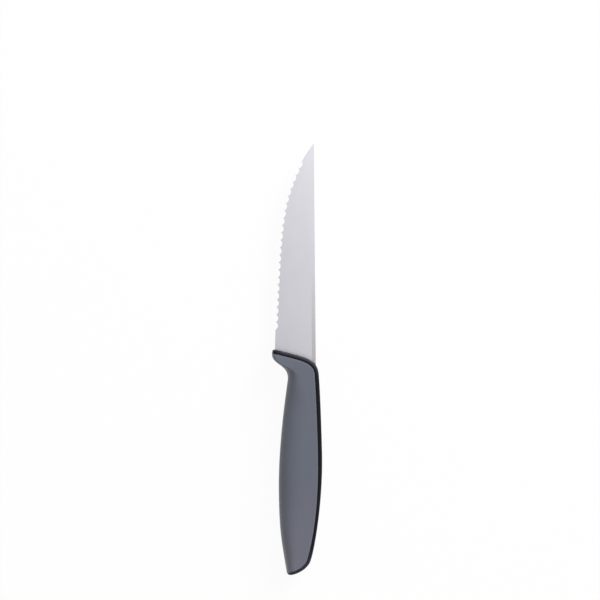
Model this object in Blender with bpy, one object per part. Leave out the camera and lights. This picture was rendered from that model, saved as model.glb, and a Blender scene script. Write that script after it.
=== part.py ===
"""Steak knife: a serrated blade in a handle moulded in two shots, lying on its flank.

+Y runs to the blade's point, +X from the cutting edge to the spine, +Z out of the blade's face.
Outlines are drawn from the handle's shoulder: X = 0 is the blade's straight spine, Y = 0 the
place where it enters the handle, and Z = 0 the middle of the blade's thickness. Lengths are in
metres. An empty carries all pieces, so that the knife rests on Z = 0 with its middle over the
world's origin.
"""
import math

import bmesh
import bpy
import numpy as np

# Blade
POINT_REACH = 0.1091
BLADE_WIDTH = 0.02015
BLADE_STOCK = 0.0014
EDGE_THICKNESS = 0.0004
SPINE_FLAT = 0.00165
GRIND_RUNOUT = 0.0026
EDGE_BEND_BACK = 0.0331
EDGE_BEND_REACH = 0.015
BEVEL_ANGLE = math.radians(15)
EDGE_STOCK = 0.001

# Serration along the edge
TIP_PLAIN = 0.0108
HEEL_PLAIN = 0.0098
TOOTH_PITCH = 0.00369
TOOTH_DEPTH = 0.00115
TOOTH_FACETS = 6

# Tang, hidden in the handle
BLADE_SEAT = 0.0012
SPINE_LAP = 0.0004
TANG_SHORT = 0.032
TANG_ROOT_WIDTH = 0.0085
TANG_END_WIDTH = 0.0065
TANG_SPINE_INSET = 0.0018
TANG_LEAN = 0.0022
TANG_FILLET = 0.002
TANG_HOLE_DIAMETER = 0.0036
TANG_HOLE_FIRST = 0.018
TANG_HOLE_PITCH = 0.021
TANG_HOLE_CLEAR = 0.01

# Handle outline: reach is towards the belly, swell beyond the blade's spine
HANDLE_LENGTH = 0.104
GUARD_DROP = 0.0015
GUARD_NOSE_UP = 0.0049
GUARD_TOP_DROP = 0.00035
GUARD_TOP_UP = 0.00733
SHOULDER_REACH = 0.00604
SHOULDER_UP = 0.00345
NECK_SWELL = 0.0016
NECK_BACK = 0.008
SPINE_SWELL = 0.00273
SPINE_SWELL_BACK = 0.046
BUTT_SPINE_REACH = 0.00372
BUTT_SPINE_RISE = 0.00642
BUTT_REACH = 0.0139
BUTT_BELLY_REACH = 0.0153
BUTT_BELLY_RISE = 0.0016
BELLY_REACH = 0.01882
BELLY_BACK = 0.062
NOTCH_REACH = 0.01385
NOTCH_BACK = 0.0068

# Handle thickness and edges
HANDLE_THICKNESS = 0.0135
BUTT_THINNING = 0.0017
BUTT_TAPER = 0.034
BELLY_ROUND = 0.009
RIM_RADIUS = 0.0016

# Band of the hard core that shows round the soft grip
BAND_WIDTH = 0.00195
BUTT_BAND_WIDTH = 0.00125
BAND_TAPER = 0.045

# Core under the grip
GRIP_SKIN = 0.0028
BELLY_SKIN = 0.002
CORE_LAP = 0.00095
CORE_ROUND = 0.0022
CORE_CORNER = 0.0004
FLANGE_THICKNESS = 0.0026
FLANGE_LAP = 0.0006
FLANGE_SKIN = 0.0015
LOCK_DIAMETER = 0.005
LOCK_REACH = 0.0094
LOCK_BEHIND_TANG = 0.0095
LOCK_PITCH = 0.009
LOCK_BUTT_CLEAR = 0.012

# Gaps between neighbouring pieces, and how far a cutter runs past what it cuts
MOULD_GAP = 0.0003
CUTTER_OVERRUN = 0.005

# Mesh steps, and how far the handle's cells crowd towards its outline, as a share
OUTLINE_STEP = 0.0012
CORE_STEP = 0.0025
LENGTH_CELLS = 56
WIDTH_CELLS = 14
CELL_CROWDING = 0.86
GRIND_STATIONS = 22
HOLE_SIDES = 24
ARC_FACETS = 5
SHARP_TURN = math.radians(25)
STRAIGHT_TURN = math.radians(0.06)
TINY = 0.00003

# What follows from the sizes above
GUARD_REACH = BLADE_WIDTH + GUARD_DROP
GUARD_TOP_REACH = BLADE_WIDTH + GUARD_TOP_DROP
GRIND_WIDTH = BLADE_WIDTH - SPINE_FLAT
TANG_LENGTH = HANDLE_LENGTH - TANG_SHORT
HEEL_UP = GUARD_TOP_UP - BLADE_SEAT - EDGE_STOCK


def heading(degrees):
    """The unit vector at an angle from +X."""
    angle = math.radians(degrees)
    return np.array([math.cos(angle), math.sin(angle)])


def smooth_path(knots, step=OUTLINE_STEP):
    """Points on cubic curves through knots of (x, y, heading, pull in, pull out).

    A pull is how far the curve holds to the knot's heading, as a share of the chord.
    """
    points = [np.array(knots[0][:2])]
    for (x0, y0, turn0, _, pull_out), (x1, y1, turn1, pull_in, _) in zip(knots, knots[1:]):
        start = np.array([x0, y0])
        end = np.array([x1, y1])
        chord = np.linalg.norm(end - start)
        leave = start + heading(turn0) * pull_out * chord
        arrive = end - heading(turn1) * pull_in * chord
        count = max(3, math.ceil(chord / step))
        for i in range(1, count + 1):
            t = i / count
            s = 1 - t
            points.append(s ** 3 * start + 3 * s * s * t * leave + 3 * s * t * t * arrive + t ** 3 * end)
    return np.array(points)


def run(path):
    """The distance along a path to each of its points."""
    return np.concatenate([[0], np.cumsum(np.linalg.norm(np.diff(path, axis=0), axis=1))])


def along(path, distances):
    """The points at given distances along a path."""
    lengths = run(path)
    return np.stack([np.interp(distances, lengths, path[:, i]) for i in (0, 1)], axis=-1)


def right_normals(path):
    """The unit normal to the right of the way along a path, at each point."""
    way = np.gradient(path, run(path), axis=0)
    way /= np.linalg.norm(way, axis=1)[:, None]
    return np.stack([way[:, 1], -way[:, 0]], axis=1)


def distance_to(path, points):
    """The distance of each point to a path."""
    start = path[:-1]
    leg = np.diff(path, axis=0)
    offset = points[..., None, :] - start
    share = np.clip((offset * leg).sum(-1) / (leg * leg).sum(-1), 0, 1)
    return np.linalg.norm(offset - leg * share[..., None], axis=-1).min(-1)


def rim_path(step=OUTLINE_STEP):
    """The outline that the band follows: front, shoulder, spine side and butt."""
    return smooth_path([
        (-GUARD_TOP_REACH, GUARD_TOP_UP, -8, 0, 0.12),
        (-SHOULDER_REACH, SHOULDER_UP, -19.8, 0.25, 0.62),
        (NECK_SWELL, -NECK_BACK, -86, 0.30, 0.21),
        (SPINE_SWELL, -SPINE_SWELL_BACK, -90, 0.13, 0.475),
        (-BUTT_SPINE_REACH, BUTT_SPINE_RISE - HANDLE_LENGTH, -116.5, 0.075, 0.53),
        (-BUTT_REACH, -HANDLE_LENGTH, -180, 0.05, 0),
    ], step)


def belly_path(step=OUTLINE_STEP):
    """The outline that the soft grip rolls over: guard nose, finger notch and belly."""
    return smooth_path([
        (-GUARD_TOP_REACH, GUARD_TOP_UP, 172, 0, 0.36),
        (-GUARD_REACH, GUARD_NOSE_UP, -90, 0.5, 0.357),
        (-NOTCH_REACH, -NOTCH_BACK, -90, 0.486, 0.037),
        (-BELLY_REACH, -BELLY_BACK, -90, 0.475, 0.488),
        (-BUTT_BELLY_REACH, BUTT_BELLY_RISE - HANDLE_LENGTH, -81, 0.38, 0.36),
        (-BUTT_REACH, -HANDLE_LENGTH, 0, 0.36, 0),
    ], step)


def edge_path():
    """The cutting edge before it is serrated, from the point to the heel inside the guard."""
    return smooth_path([
        (0, POINT_REACH, -129.3, 0, 0.44),
        (-EDGE_BEND_REACH, POINT_REACH - EDGE_BEND_BACK, -97.6, 0.10, 0.075),
        (-BLADE_WIDTH, GUARD_TOP_UP, -92.2, 0.885, 0.1),
        (-BLADE_WIDTH, HEEL_UP, -90, 0.1, 0),
    ], OUTLINE_STEP / 2)


def turn_index(path, degrees):
    """The first place along a path where it heads past an angle, turning clockwise."""
    way = np.diff(path, axis=0)
    angles = np.degrees(np.unwrap(np.arctan2(way[:, 1], way[:, 0])))
    return int(np.argmax(angles < degrees))


def rounded(corners):
    """A closed outline from (x, y, radius) corners, with an arc at each that has a radius.

    An arc is smaller where the sides of its corner are too short for it.
    """
    outline = []
    for i, (x, y, radius) in enumerate(corners):
        corner = np.array([x, y])
        if radius == 0:
            outline.append(corner)
            continue
        before = np.array(corners[i - 1][:2]) - corner
        after = np.array(corners[(i + 1) % len(corners)][:2]) - corner
        room = min(np.linalg.norm(before), np.linalg.norm(after)) / 2
        before /= np.linalg.norm(before)
        after /= np.linalg.norm(after)
        half_angle = math.acos(np.clip(before @ after, -1, 1)) / 2
        radius = min(radius, room * math.tan(half_angle))
        middle = before + after
        middle /= np.linalg.norm(middle)
        centre = corner + middle * radius / math.sin(half_angle)
        spread = math.pi / 2 - half_angle
        sideways = (after - before) / np.linalg.norm(after - before)
        for k in range(ARC_FACETS + 1):
            turn = spread * (2 * k / ARC_FACETS - 1)
            outline.append(centre + radius * (sideways * math.sin(turn) - middle * math.cos(turn)))
    return np.array(outline)


def spread_outline(outline, distance):
    """A closed clockwise outline moved outwards by a distance, with its corners kept."""
    way = np.roll(outline, -1, axis=0) - outline
    way /= np.linalg.norm(way, axis=1)[:, None]
    out = np.stack([-way[:, 1], way[:, 0]], axis=1)
    before = np.roll(out, 1, axis=0)
    return outline + (before + out) / (1 + (before * out).sum(1))[:, None] * distance


def add_object(name, mesh, collection):
    piece = bpy.data.objects.new(name, mesh)
    collection.objects.link(piece)
    return piece


def mark_cutter(piece):
    piece.hide_render = True
    piece.display_type = 'WIRE'
    return piece


def plate(name, outlines, half_height, collection, rounding=0.0):
    """A flat solid from closed outlines, the first its edge and the others its holes.

    A rounding swells the sides out beyond the outline, within the same height.
    """
    curve = bpy.data.curves.new(name, 'CURVE')
    curve.dimensions = '2D'
    curve.fill_mode = 'BOTH'
    curve.extrude = half_height - rounding
    curve.bevel_depth = rounding
    curve.bevel_resolution = 1
    for outline in outlines:
        spline = curve.splines.new('POLY')
        spline.points.add(len(outline) - 1)
        for point, (x, y) in zip(spline.points, outline):
            point.co = (x, y, 0, 1)
        spline.use_cyclic_u = True
    source = add_object(name + '_curve', curve, collection)
    graph = bpy.context.evaluated_depsgraph_get()
    mesh = bpy.data.meshes.new_from_object(source.evaluated_get(graph))
    mesh.name = name
    bpy.data.objects.remove(source)
    shape = bmesh.new()
    shape.from_mesh(mesh)
    bmesh.ops.remove_doubles(shape, verts=shape.verts, dist=TINY / 10)
    bmesh.ops.dissolve_limit(shape, angle_limit=STRAIGHT_TURN, verts=shape.verts, edges=shape.edges)
    bmesh.ops.recalc_face_normals(shape, faces=shape.faces)
    shape.to_mesh(mesh)
    shape.free()
    return add_object(name, mesh, collection)


def circle(x, y, diameter):
    """A round hole's outline, its flats at the true radius."""
    radius = diameter / 2 / math.cos(math.pi / HOLE_SIDES)
    turns = 2 * math.pi * np.arange(HOLE_SIDES) / HOLE_SIDES
    return np.stack([x + radius * np.cos(turns), y + radius * np.sin(turns)], axis=1)


def boolean(piece, operation, tool):
    cut = piece.modifiers.new(operation.lower() + '_' + tool.name, 'BOOLEAN')
    cut.operation = operation
    cut.object = tool
    cut.solver = 'EXACT'


def blade_half(inward):
    """Half the ground blade's thickness at a distance in from the edge."""
    slope = (BLADE_STOCK - EDGE_THICKNESS) / 2 / GRIND_WIDTH
    return EDGE_THICKNESS / 2 + slope * inward


def sweep_along_edge(name, distances, sections, collection):
    """A cutter whose sections of (inward, z) points follow the edge; distances run from the point."""
    edge = edge_path()
    length = run(edge)[-1]
    inward = -right_normals(edge)
    clamped = np.clip(distances, 0, length)
    places = along(edge, clamped)
    way_start = edge[1] - edge[0]
    way_end = edge[-1] - edge[-2]
    beyond = np.asarray(distances) - clamped
    for place, extra in zip(places, beyond):
        way = way_start if extra < 0 else way_end
        place += way / np.linalg.norm(way) * extra
    lengths = run(edge)
    aims = np.stack([np.interp(clamped, lengths, inward[:, i]) for i in (0, 1)], axis=1)
    aims /= np.linalg.norm(aims, axis=1)[:, None]
    shape = bmesh.new()
    rings = []
    for place, aim, section in zip(places, aims, sections):
        ring = [shape.verts.new((*(place + aim * n), z)) for n, z in section]
        rings.append(ring)
    for ring, following in zip(rings, rings[1:]):
        for i in range(len(ring)):
            j = (i + 1) % len(ring)
            shape.faces.new((ring[i], ring[j], following[j], following[i]))
    shape.faces.new(rings[0])
    shape.faces.new(rings[-1])
    bmesh.ops.recalc_face_normals(shape, faces=shape.faces)
    mesh = bpy.data.meshes.new(name)
    shape.to_mesh(mesh)
    shape.free()
    return mark_cutter(add_object(name, mesh, collection))


def face_grind(name, side, clearance, collection):
    """Cuts one face from the edge up to the flat strip along the spine."""
    start = -EDGE_STOCK - CUTTER_OVERRUN
    end = GRIND_WIDTH + CUTTER_OVERRUN
    high = BLADE_STOCK + CUTTER_OVERRUN
    section = [
        (start, side * (blade_half(start) + clearance)),
        (end, side * (blade_half(end) + clearance)),
        (end, side * high),
        (start, side * high),
    ]
    stop = run(edge_path())[-1] + HEEL_UP + GRIND_RUNOUT
    distances = np.linspace(-2 * CUTTER_OVERRUN, stop, GRIND_STATIONS)
    return sweep_along_edge(name, distances, [section] * GRIND_STATIONS, collection)


def scallop_steps():
    """Distances along the edge and the notch depth at each, from the point past the heel."""
    length = run(edge_path())[-1] - BLADE_SEAT - EDGE_STOCK
    teeth = int((length - TIP_PLAIN - HEEL_PLAIN) / TOOTH_PITCH + 0.5)
    radius = (TOOTH_PITCH ** 2 / 4 + TOOTH_DEPTH ** 2) / (2 * TOOTH_DEPTH)
    half_turn = math.asin(TOOTH_PITCH / 2 / radius)
    distances = [-2 * CUTTER_OVERRUN, -CUTTER_OVERRUN, 0, TIP_PLAIN / 3, TIP_PLAIN * 2 / 3]
    depths = [0.0] * len(distances)
    for tooth in range(teeth):
        middle = TIP_PLAIN + (tooth + 0.5) * TOOTH_PITCH
        for k in range(TOOTH_FACETS):
            turn = half_turn * (2 * k / TOOTH_FACETS - 1)
            distances.append(middle + radius * math.sin(turn))
            depths.append(TOOTH_DEPTH - radius * (1 - math.cos(turn)))
    end = TIP_PLAIN + teeth * TOOTH_PITCH
    distances += [end, length, length + BLADE_SEAT + EDGE_STOCK + CUTTER_OVERRUN]
    depths += [0.0, 0.0, 0.0]
    return np.array(distances), np.array(depths)


def serration_wheel(collection):
    """Grinds the scallops and the bevel from the back, so that the face keeps the edge."""
    distances, depths = scallop_steps()
    high = BLADE_STOCK
    sections = []
    for depth in depths:
        face = blade_half(depth)
        above = depth - (high - face) / math.tan(BEVEL_ANGLE)
        below = depth + (high + face) / math.tan(BEVEL_ANGLE)
        clear = -2 * CUTTER_OVERRUN
        sections.append([(above, high), (below, -high), (clear, -high), (clear, high)])
    return sweep_along_edge('serration_wheel', distances, sections, collection)


def tang_middle(back):
    """X of the tang's middle line, and its width, at a distance behind the shoulder."""
    share = back / TANG_LENGTH
    middle = -TANG_SPINE_INSET - TANG_ROOT_WIDTH / 2 - TANG_LEAN * share
    width = TANG_ROOT_WIDTH + (TANG_END_WIDTH - TANG_ROOT_WIDTH) * share
    return middle, width


def front_y(x):
    """Y of the handle's front outline at an X between the guard and the shoulder."""
    rim = rim_path()
    front = rim[:turn_index(rim, -80)]
    return float(np.interp(x, front[:, 0], front[:, 1]))


def blank_outline(edge_margin):
    """The stamped blank, clockwise from the point: spine, tang, shoulder and edge."""
    root_middle, root_width = tang_middle(0)
    end_middle, end_width = tang_middle(TANG_LENGTH)
    lap = front_y(0) - SPINE_LAP
    root = root_middle - root_width / 2
    heel = -BLADE_WIDTH - edge_margin
    corners = [
        (0, POINT_REACH + 2 * edge_margin, 0),
        (0, lap, 0),
        (-TANG_SPINE_INSET, lap - TANG_SPINE_INSET, TANG_FILLET / 2),
        (end_middle + end_width / 2, -TANG_LENGTH, TANG_FILLET),
        (end_middle - end_width / 2, -TANG_LENGTH, TANG_FILLET),
        (root, front_y(root) - BLADE_SEAT, TANG_FILLET),
        (heel, front_y(-BLADE_WIDTH) - BLADE_SEAT, 0),
    ]
    edge = edge_path() + right_normals(edge_path()) * edge_margin
    shown = edge[1:][edge[1:, 1] > GUARD_TOP_UP]
    corners += [(x, y, 0) for x, y in shown[::-1]]
    return rounded(corners)


def blade_blank(name, clearance, edge_margin, collection):
    """The blank at its stock thickness, or the room that it needs, grown all round."""
    outline = spread_outline(blank_outline(edge_margin), clearance)
    holes = []
    for back in np.arange(TANG_HOLE_FIRST, TANG_LENGTH - TANG_HOLE_CLEAR, TANG_HOLE_PITCH):
        holes.append(circle(tang_middle(back)[0], -back, TANG_HOLE_DIAMETER - 2 * clearance))
    return plate(name, [outline] + holes, BLADE_STOCK / 2 + clearance, collection)


def make_blade(parts, cutters):
    blade = blade_blank('blade', 0, EDGE_STOCK, parts)
    boolean(blade, 'DIFFERENCE', face_grind('face_wheel', 1, 0, cutters))
    boolean(blade, 'DIFFERENCE', face_grind('back_wheel', -1, 0, cutters))
    boolean(blade, 'DIFFERENCE', serration_wheel(cutters))
    return blade


def make_tang_pocket(cutters):
    pocket = mark_cutter(blade_blank('tang_pocket', MOULD_GAP, 0, cutters))
    boolean(pocket, 'DIFFERENCE', face_grind('face_room', 1, MOULD_GAP, cutters))
    boolean(pocket, 'DIFFERENCE', face_grind('back_room', -1, MOULD_GAP, cutters))
    return pocket


def eased(cells):
    """Shares from 0 to 1, set closer together towards both ends."""
    steps = np.arange(cells + 1) / cells
    return steps - CELL_CROWDING * np.sin(2 * math.pi * steps) / (2 * math.pi)


def handle_surface():
    """X and Y over a patch between the four sides of the outline, and half the thickness there.

    The patch's corners are the guard's top, the places where the rim turns through 45 and 135
    degrees, and the butt's lowest point.
    """
    rim = rim_path()
    belly = belly_path()
    shoulder = turn_index(rim, -45)
    butt = turn_index(rim, -135)
    length_share = eased(LENGTH_CELLS)
    width_share = eased(WIDTH_CELLS)
    belly_side = along(belly, length_share * run(belly)[-1])
    spine = rim[shoulder:butt + 1]
    spine_side = along(spine, length_share * run(spine)[-1])
    front = rim[:shoulder + 1]
    front_side = along(front, width_share * run(front)[-1])
    end = rim[butt:][::-1]
    butt_side = along(end, width_share * run(end)[-1])
    t = length_share[:, None, None]
    u = width_share[None, :, None]
    ruled = (1 - u) * belly_side[:, None] + u * spine_side[:, None]
    ruled += (1 - t) * front_side[None] + t * butt_side[None]
    corners = (1 - t) * ((1 - u) * front_side[0] + u * front_side[-1])
    corners += t * ((1 - u) * butt_side[0] + u * butt_side[-1])
    places = ruled - corners

    width = np.linalg.norm(spine_side - belly_side, axis=1)[:, None]
    rolled = np.clip(width_share[None] * width / BELLY_ROUND, 0, 1)
    roll = np.sqrt(1 - (1 - rolled) ** 2)
    inside = np.minimum(distance_to(rim, places), RIM_RADIUS)
    fillet = RIM_RADIUS - np.sqrt(RIM_RADIUS ** 2 - (RIM_RADIUS - inside) ** 2)
    tapered = np.clip((BUTT_TAPER - HANDLE_LENGTH - places[..., 1]) / BUTT_TAPER, 0, 1)
    half = (HANDLE_THICKNESS - BUTT_THINNING * tapered ** 2) / 2
    return places, roll * (half - fillet)


def handle_form():
    """The whole handle's outer shape, closed, before it is shared between core and grip."""
    places, half = handle_surface()
    rows, columns = half.shape
    shape = bmesh.new()
    top = {}
    bottom = {}
    for i in range(rows):
        for j in range(columns):
            x, y = places[i, j]
            top[i, j] = shape.verts.new((x, y, half[i, j]))
            bottom[i, j] = top[i, j] if j == 0 else shape.verts.new((x, y, -half[i, j]))
    for i in range(rows - 1):
        for j in range(columns - 1):
            for side in (top, bottom):
                shape.faces.new((side[i, j], side[i + 1, j], side[i + 1, j + 1], side[i, j + 1]))
    rim = [(0, j) for j in range(columns)]
    rim += [(i, columns - 1) for i in range(1, rows)]
    rim += [(rows - 1, j) for j in range(columns - 2, -1, -1)]
    for here, there in zip(rim, rim[1:]):
        corners = [top[here], top[there], bottom[there], bottom[here]]
        shape.faces.new(list(dict.fromkeys(corners)))
    bmesh.ops.recalc_face_normals(shape, faces=shape.faces)
    mesh = bpy.data.meshes.new('handle_form')
    shape.to_mesh(mesh)
    shape.free()
    return mesh


def seam_outline(extra):
    """The band's inner edge, run straight on at both ends and closed well clear of the belly."""
    rim = rim_path()
    left = run(rim)[-1] - run(rim)
    widths = np.interp(left, [0, BAND_TAPER], [BUTT_BAND_WIDTH, BAND_WIDTH]) + extra
    seam = rim + right_normals(rim) * widths[:, None]
    first = seam[0] + (seam[0] - seam[1]) / np.linalg.norm(seam[0] - seam[1]) * CUTTER_OVERRUN
    last = seam[-1] + (seam[-1] - seam[-2]) / np.linalg.norm(seam[-1] - seam[-2]) * CUTTER_OVERRUN
    clear = -GUARD_REACH - 2 * CUTTER_OVERRUN
    return np.vstack([first, seam, last, (clear, last[1]), (clear, first[1])])


def core_outline(lap, skin, rounding):
    """The flat of the core under the grip, from which its sides round out.

    The sides end inside the band along the rim, and under the grip's skin along the belly.
    Sharp outer corners get a small arc, so that the rounding turns about them.
    """
    rim = rim_path(CORE_STEP)
    belly = belly_path(CORE_STEP)[::-1]
    outline = np.vstack([rim, belly[1:-1]])
    inset = np.concatenate([
        np.full(len(rim), BAND_WIDTH - lap),
        np.full(len(belly) - 2, skin),
    ]) + rounding
    looped = np.vstack([outline[-1], outline, outline[0]])
    inward = right_normals(looped)[1:-1]
    moved = outline + inward * inset[:, None]
    reach = np.linalg.norm(moved[:, None] - outline[None], axis=2) - inset[None]
    kept = moved[reach.min(axis=1) > -TINY]
    way = np.roll(kept, -1, axis=0) - kept
    way /= np.linalg.norm(way, axis=1)[:, None]
    before = np.roll(way, 1, axis=0)
    turns = np.arcsin(np.clip(before[:, 1] * way[:, 0] - before[:, 0] * way[:, 1], -1, 1))
    return rounded([(x, y, CORE_CORNER if turn > SHARP_TURN else 0) for (x, y), turn in zip(kept, turns)])


def core_body(name, clearance, collection):
    """The core under the grip with its flange, or the room that they need in the grip."""
    half = HANDLE_THICKNESS / 2 - GRIP_SKIN - MOULD_GAP + clearance
    outline = core_outline(CORE_LAP, BELLY_SKIN, CORE_ROUND)
    body = mark_cutter(plate(name, [outline], half, collection, CORE_ROUND + clearance))
    outline = core_outline(FLANGE_LAP, FLANGE_SKIN, 0)
    half = FLANGE_THICKNESS / 2 + clearance
    boolean(body, 'UNION', mark_cutter(plate(name + '_flange', [outline], half, collection, clearance)))
    return body


def lock_pins(name, diameter, collection):
    """The holes behind the tang where the grip's two flanks join through the core."""
    first = TANG_LENGTH + LOCK_BEHIND_TANG
    places = np.arange(first, HANDLE_LENGTH - LOCK_BUTT_CLEAR, LOCK_PITCH)
    outlines = [circle(-LOCK_REACH, -back, diameter) for back in places]
    return mark_cutter(plate(name, outlines, HANDLE_THICKNESS, collection))


def make_core(form, parts, cutters):
    core = add_object('handle_core', form.copy(), parts)
    inside_seam = mark_cutter(plate('band_seam', [seam_outline(0)], HANDLE_THICKNESS, cutters))
    boolean(core, 'DIFFERENCE', inside_seam)
    boolean(core, 'UNION', core_body('core_body', 0, cutters))
    boolean(core, 'DIFFERENCE', lock_pins('lock_holes', LOCK_DIAMETER, cutters))
    boolean(core, 'DIFFERENCE', make_tang_pocket(cutters))
    return core


def make_grip(form, parts, cutters):
    grip = add_object('handle_grip', form.copy(), parts)
    seam = mark_cutter(plate('grip_seam', [seam_outline(MOULD_GAP)], HANDLE_THICKNESS, cutters))
    boolean(grip, 'INTERSECT', seam)
    room = core_body('core_room', MOULD_GAP, cutters)
    boolean(room, 'DIFFERENCE', lock_pins('lock_pegs', LOCK_DIAMETER - 2 * MOULD_GAP, cutters))
    boolean(grip, 'DIFFERENCE', room)
    return grip


def finish(piece, color, roughness, metallic):
    """Gives a piece its material, and smooth shading between sharp edges."""
    material = bpy.data.materials.new(piece.name)
    material.use_nodes = True
    shader = material.node_tree.nodes['Principled BSDF']
    shader.inputs['Base Color'].default_value = (*color, 1)
    shader.inputs['Roughness'].default_value = roughness
    shader.inputs['Metallic'].default_value = metallic
    piece.data.materials.append(material)
    piece.data.shade_smooth()
    piece.data.set_sharp_from_angle(angle=math.radians(35))
    piece.modifiers.new('even_shading', 'WEIGHTED_NORMAL').keep_sharp = True


def new_collection(name):
    collection = bpy.data.collections.new(name)
    bpy.context.scene.collection.children.link(collection)
    return collection


def main():
    for old in list(bpy.data.objects):
        bpy.data.objects.remove(old)
    parts = new_collection('steak_knife')
    cutters = new_collection('cutters')
    form = handle_form()
    finish(make_blade(parts, cutters), (0.60, 0.60, 0.62), 0.32, 1.0)
    finish(make_core(form, parts, cutters), (0.016, 0.016, 0.018), 0.4, 0.0)
    finish(make_grip(form, parts, cutters), (0.144, 0.159, 0.191), 0.6, 0.0)

    carrier = bpy.data.objects.new('knife_carrier', None)
    parts.objects.link(carrier)
    carrier.location = (
        (GUARD_REACH - SPINE_SWELL) / 2,
        (HANDLE_LENGTH - POINT_REACH) / 2,
        HANDLE_THICKNESS / 2,
    )
    for piece in list(parts.objects) + list(cutters.objects):
        if piece != carrier:
            piece.parent = carrier


main()
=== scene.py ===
"""Steak knife: a serrated steel blade in a handle moulded in two shots, lying on its flank.

Outlines are drawn from the handle's shoulder: X = 0 is the blade's straight spine, Y = 0 the place
where it enters the handle, Z = 0 the middle of the blade's thickness, and +Y runs to the point.
Each finished piece is then moved to where the loaded frame has the knife. Lengths are in metres.
"""
import math

import bmesh
import bpy
import numpy as np
from bpy.props import FloatProperty, FloatVectorProperty, PointerProperty
from bpy.types import Operator, Panel, PropertyGroup
from mathutils import Matrix, Vector, interpolate
from mathutils.bvhtree import BVHTree


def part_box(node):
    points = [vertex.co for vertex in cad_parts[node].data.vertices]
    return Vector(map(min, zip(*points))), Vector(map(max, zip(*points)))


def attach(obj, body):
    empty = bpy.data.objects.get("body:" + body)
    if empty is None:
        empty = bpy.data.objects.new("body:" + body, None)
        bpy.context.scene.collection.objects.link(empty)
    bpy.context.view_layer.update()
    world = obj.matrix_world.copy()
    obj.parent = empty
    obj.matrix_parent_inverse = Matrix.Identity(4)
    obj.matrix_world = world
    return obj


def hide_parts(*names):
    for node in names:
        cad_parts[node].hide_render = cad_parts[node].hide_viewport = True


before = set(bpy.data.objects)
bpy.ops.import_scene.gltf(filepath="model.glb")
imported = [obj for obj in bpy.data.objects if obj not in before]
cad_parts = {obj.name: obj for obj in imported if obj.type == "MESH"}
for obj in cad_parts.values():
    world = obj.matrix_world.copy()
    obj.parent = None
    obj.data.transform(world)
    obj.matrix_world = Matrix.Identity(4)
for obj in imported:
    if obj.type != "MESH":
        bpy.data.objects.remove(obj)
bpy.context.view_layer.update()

bl_info = {
    "name": "Steak Knife",
    "version": (1, 0, 0),
    "blender": (4, 5, 0),
    "location": "3D View > Sidebar > Knife",
    "description": "Builds a serrated steak knife with a grip moulded over a hard core",
    "category": "Add Mesh",
}

# How finely the outlines and the surfaces are drawn.
OUTLINE_STEP = 0.0004
CORE_STEP = 0.0025
LEAST_STEPS = 3
LENGTH_CELLS = 260
ARC_CELLS = 20
FLAT_CELLS = 22
RIM_CELLS = 12
EASE_CELLS = 4
LOOKUP_CELLS = (520, 64)
TIP_CELLS = 24
TOOTH_FACETS = 14
HEEL_POINTS = 12
HEEL_CELLS = 6
SPINE_FACETS = 3
ARC_FACETS = 6
SIDE_FACETS = 3
HOLE_SIDES = 48
ROOT_POINTS = 9
ROOM_POINTS = 40

# Shares of a width or a depth, and powers.
ARC_SHARE = 0.5
RIM_SHARE = 0.88
ROOT_OVERLAP = 0.25
SPINE_REACH = 1.2
TIP_CROWDING = 1.5
ROLL_POWER = 3

# The outline's headings in degrees where one stretch ends, and how sharp a corner or an edge is.
SHOULDER_TURN = -45
BUTT_TURN = -135
FRONT_TURN = -80
SHARP_TURN = math.radians(25)
BLADE_CREASE = math.radians(3.5)
HANDLE_CREASE = math.radians(32)

# Rows of points along the blade: how far in from the edge, and at most which share of its width.
# Scallops fade out by the FADE_ROW, and the rest keeps the rows apart where the point is narrow.
FACE_ROWS = (
    (0.0032, 0.62), (0.0046, 0.70), (0.0064, 0.78), (0.009, 0.84), (0.012, 0.89), (0.015, 0.93),
)
FADE_ROW = 2
GRIND_LIMIT = 0.97
BEVEL_LIMIT = 0.55
BURR_PARTS = 4
EASE_PARTS = 5

# Distances that no user changes, and where along the rim from the butt the band's widths are given.
HEEL_STOCK = 0.001
HEEL_LEAD = 0.001
TANG_CORNER = 0.002
TANG_HOLE_END = 0.01
ROOM_REACH = 0.03
OFF_SEAM = 1.0
BAND_PLACES = (0, 0.014, 0.027, 0.038, 0.062)
TINY = 0.00003
MERGE = 0.000001

# Where painted light and shade change: between two distances ahead of the shoulder, across a short
# way, or between two shares of the band's width, and where the steel's painted shade reaches black.
STRIP_SHADE_FADE = (0.046, 0.008)
BAND_FRONT_HIGHLIGHT = (-0.008, 0.001)
BAND_BUTT_HIGHLIGHT = (-0.090, -0.100)
GRIP_LIGHT_FADE = (-0.055, -0.104)
STRIP_BLUR = 0.0003
BAND_HIGHLIGHT_CORNER = 0.004
RIM_HIGHLIGHT_ATTRIBUTE = 'to_rim'
RIM_HIGHLIGHT_SPAN = (0.28, 0.52)
# Painted shade: the steel darkens towards the handle and would reach black this far behind the shoulder.
STEEL_SHADE_FALL = 0.78

# Noise in cells per metre along X, Y and Z with its detail, the shares by which it changes the tone
# and the roughness, and the depth and strength of its relief.
STEEL_LINES = ((45, 5200, 45), 3)
STEEL_CLOUD = ((160, 60, 160), 2)
STEEL_VARIES = (0.015, 0.06)
STEEL_RELIEF = (0.000004, 0.25)
STEEL_GLOSS = 0.5
GRIP_GRAIN = ((5200, 5200, 5200), 2)
GRIP_CLOUD = ((90, 90, 90), 3)
GRIP_VARIES = (0.03, 0.05)
GRIP_RELIEF = (0.00003, 0.35)
GRIP_DUST = 0.45
BAND_GRAIN = ((2600, 2600, 2600), 2)
BAND_CLOUD = ((220, 220, 220), 2)
BAND_VARIES = (0.1, 0.08)
BAND_RELIEF = (0.00001, 0.2)
NOISE_SPAN = (0.3, 0.7)
MIX_COLORS = (6, 7)
MIX_RESULT = 2

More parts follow.
